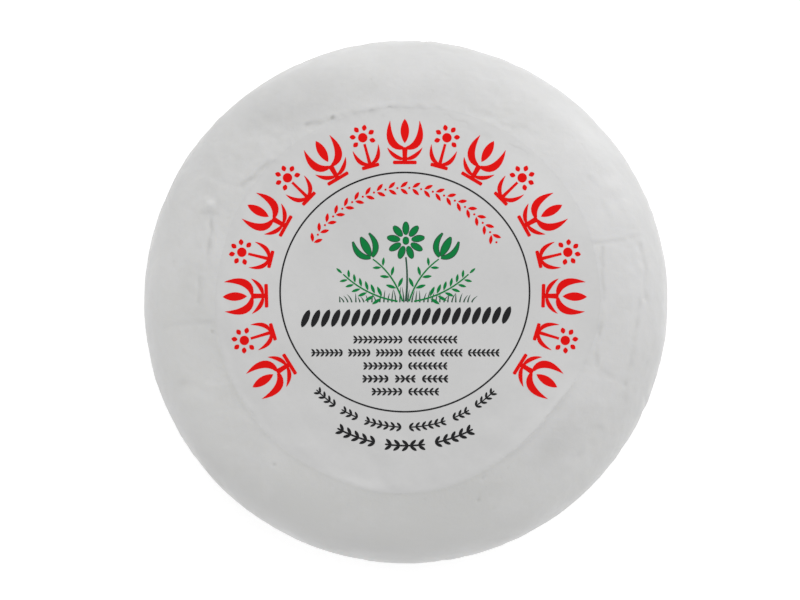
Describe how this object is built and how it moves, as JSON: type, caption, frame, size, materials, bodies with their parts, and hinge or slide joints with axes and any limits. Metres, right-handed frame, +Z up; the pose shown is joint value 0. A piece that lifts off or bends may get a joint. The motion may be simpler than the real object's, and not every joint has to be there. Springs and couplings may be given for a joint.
{
  "type": "brinza cheese wheel",
  "caption": "Round wheel of white brined cheese with soft rounded edges, faint cloth creases and a large thin round label lying on its top face.",
  "frame": {"origin": "middle of the flat foot the wheel rests on, under the middle of its outline", "axes": "+Z up out of the labelled top face; +Y towards the top of the label's print, +X to the print's right"},
  "size_m": [0.1602, 0.1598, 0.0632],
  "materials": {
    "cheese": "moist satin white curd",
    "label": "smooth coated paper, printed"
  },
  "bodies": {
    "root": {"cheese": "cheese", "label": "label"}
  },
  "joints": []
}
